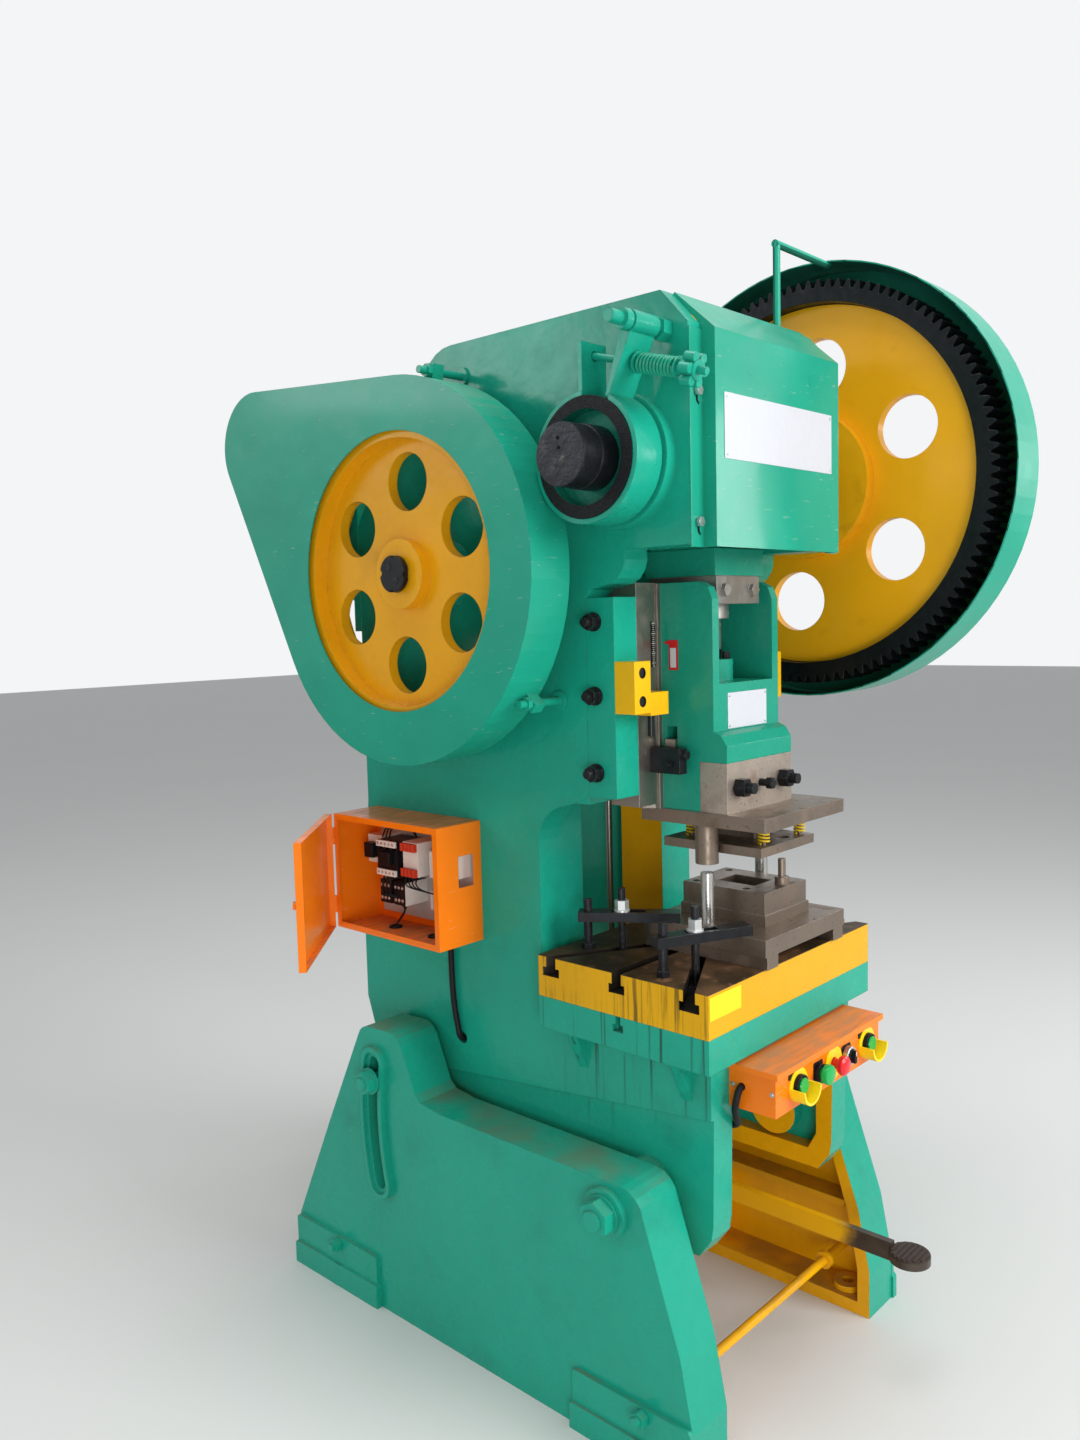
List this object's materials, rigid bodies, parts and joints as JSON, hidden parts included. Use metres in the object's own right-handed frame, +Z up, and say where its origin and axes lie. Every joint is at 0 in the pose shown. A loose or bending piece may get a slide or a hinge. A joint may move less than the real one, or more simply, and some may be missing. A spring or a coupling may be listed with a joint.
{
  "type": "mechanical stamping press",
  "caption": "Open-back inclinable eccentric press: C-frame on tilting legs, flywheel and gear drive, sliding ram over a slotted table with a die set.",
  "frame": {"origin": "on the floor, straight below the crankshaft's axis and midway between the frame's walls", "axes": "+X to the operator's right, towards the gear; +Y to the back of the press; +Z up, along the ram's travel"},
  "size_m": [1.207, 1.6119, 2.42],
  "materials": {
    "green_paint": "hammered green enamel with runs and scuffs",
    "yellow_paint": "yellow enamel",
    "orange_paint": "orange powder coat",
    "black_iron": "oiled black iron",
    "machined_steel": "machined and oiled",
    "dark_steel": "blackened steel",
    "table_steel": "ground iron with light rust and yellow sides",
    "bronze": "oiled bronze",
    "motor_paint": "blue-grey enamel",
    "belt_rubber": "black rubber",
    "spring_yellow": "painted spring steel",
    "fitting_plastic": "moulded plastic, white and black",
    "green_button": "green plastic",
    "red_button": "red plastic",
    "yellow_plastic": "yellow plastic",
    "grey_knob": "grey plastic and metal",
    "cable_sheath": "black sheath"
  },
  "bodies": {
    "base": {"left_leg": "green_paint", "right_leg": "green_paint", "tie_rods": "yellow_paint"},
    "frame": {"frame": "green_paint", "tilt_studs": "green_paint", "slot_bolts": "green_paint", "gib_blocks": "green_paint", "gib_strips": "machined_steel", "gib_bolts": "dark_steel", "stop_brackets": "yellow_paint", "limit_brackets": "dark_steel", "bolster": "table_steel", "head_cover": "green_paint", "cover_screws": "dark_steel", "control_box": "orange_paint", "control_lid": "orange_paint", "button_guards": "yellow_plastic", "cabinet": "orange_paint", "cabinet_fittings": "fitting_plastic", "motor": "motor_paint", "motor_plate": "green_paint", "flywheel_guard": "green_paint", "guard_rods": "green_paint", "gear_guard": "green_paint", "bearing_bushes": "bronze", "brake_band": "green_paint", "brake_pins": "green_paint", "brake_spring": "green_paint", "v_belts": "belt_rubber", "lower_shoe": "machined_steel", "lower_die": "machined_steel", "guide_posts": "machined_steel", "strap_clamps": "dark_steel", "clamp_bolts": "dark_steel", "control_cable": "cable_sheath"},
    "gear": {"gear": "yellow_paint"},
    "drive_shaft": {"drive_shaft": "machined_steel", "flywheel": "yellow_paint"},
    "motor_pulley": {"motor_pulley": "black_iron"},
    "crankshaft": {"crankshaft": "black_iron", "brake_drum": "black_iron"},
    "conrod": {"conrod": "machined_steel"},
    "ram": {"ram": "green_paint", "shank_clamp": "machined_steel", "ram_bolts": "dark_steel", "knockout_bar": "machined_steel", "upper_shoe": "machined_steel", "punch_plate": "machined_steel", "stripper_springs": "spring_yellow"},
    "adjusting_screw": {"adjusting_screw": "machined_steel"},
    "stripper": {"stripper": "machined_steel"},
    "pedal": {"pedal": "yellow_paint"},
    "trip_rod": {"trip_rod": "machined_steel"},
    "star_knob": {"star_knob": "green_paint"},
    "cabinet_door": {"cabinet_door": "orange_paint"},
    "left_button": {"left_button": "green_button"},
    "start_button": {"start_button": "green_button"},
    "stop_button": {"stop_button": "red_button"},
    "selector": {"selector": "grey_knob"},
    "right_button": {"right_button": "green_button"}
  },
  "joints": [
    {"name": "tilt", "type": "hinge", "parent": "base", "child": "frame", "pos_m": [0, -0.033, 0.478], "axis": [-1, 0, 0], "range_deg": [0, 17]},
    {"name": "gear_spin", "type": "hinge", "parent": "frame", "child": "gear", "pos_m": [0.45, 0, 1.914], "axis": [1, 0, 0], "continuous": true},
    {"name": "flywheel_spin", "type": "hinge", "parent": "frame", "child": "drive_shaft", "pos_m": [0, 0.50043, 1.722], "axis": [1, 0, 0], "continuous": true},
    {"name": "motor_spin", "type": "hinge", "parent": "frame", "child": "motor_pulley", "pos_m": [-0.38, 0.985, 2.045], "axis": [1, 0, 0], "continuous": true},
    {"name": "crank", "type": "hinge", "parent": "frame", "child": "crankshaft", "pos_m": [0, 0, 1.914], "axis": [-1, 0, 0], "range_deg": [0, 180]},
    {"name": "ram_stroke", "type": "slide", "parent": "frame", "child": "conrod", "axis": [0, 0, 1], "range_m": [-0.08, 0]},
    {"name": "die_height", "type": "slide", "parent": "conrod", "child": "ram", "axis": [0, 0, 1], "range_m": [0, 0.01]},
    {"name": "screw_turn", "type": "hinge", "parent": "ram", "child": "adjusting_screw", "pos_m": [0, 0, 1.6], "axis": [0, 0, 1], "range_deg": [-5, 365]},
    {"name": "stripper_lift", "type": "slide", "parent": "ram", "child": "stripper", "axis": [0, 0, 1], "range_m": [0, 0.008], "stiffness_N_per_m": 40000, "springref_m": -0.002, "deforming": ["stripper_springs"]},
    {"name": "pedal_press", "type": "hinge", "parent": "frame", "child": "pedal", "pos_m": [0.15, 0.2, 0.274], "axis": [1, 0, 0], "range_deg": [0, 6], "stiffness_Nm_per_rad": 300, "springref_deg": -5.73},
    {"name": "trip_lift", "type": "slide", "parent": "frame", "child": "trip_rod", "axis": [0, 0, 1], "range_m": [0, 0.0272]},
    {"name": "knob_turn", "type": "hinge", "parent": "frame", "child": "star_knob", "pos_m": [-0.342, -0.084, 2.079], "axis": [0, -0.9659, -0.2588], "range_deg": [-180, 180]},
    {"name": "door_swing", "type": "hinge", "parent": "frame", "child": "cabinet_door", "pos_m": [-0.406, 0.783, 1.04], "axis": [0, 0, 1], "range_deg": [-60, 47]},
    {"name": "left_button_push", "type": "slide", "parent": "frame", "child": "left_button", "axis": [0, 1, 0], "range_m": [0, 0.005], "stiffness_N_per_m": 400, "springref_m": -0.002},
    {"name": "start_button_push", "type": "slide", "parent": "frame", "child": "start_button", "axis": [0, 1, 0], "range_m": [0, 0.005], "stiffness_N_per_m": 400, "springref_m": -0.002},
    {"name": "stop_button_push", "type": "slide", "parent": "frame", "child": "stop_button", "axis": [0, 1, 0], "range_m": [0, 0.005], "stiffness_N_per_m": 400, "springref_m": -0.002},
    {"name": "right_button_push", "type": "slide", "parent": "frame", "child": "right_button", "axis": [0, 1, 0], "range_m": [0, 0.005], "stiffness_N_per_m": 400, "springref_m": -0.002},
    {"name": "selector_turn", "type": "hinge", "parent": "frame", "child": "selector", "pos_m": [0.064, -0.3, 0.711], "axis": [0, 1, 0], "range_deg": [-45, 45]}
  ],
  "couplings": [
    {"joint": "flywheel_spin", "follows": "gear_spin", "ratio": -5.7},
    {"joint": "motor_spin", "follows": "gear_spin", "ratio": -30.083},
    {"joint": "ram_stroke", "follows": "crank", "m_per_rad": -0.025465},
    {"joint": "screw_turn", "follows": "die_height", "rad_per_m": 628.32},
    {"joint": "trip_lift", "follows": "pedal_press", "m_per_rad": 0.256}
  ]
}
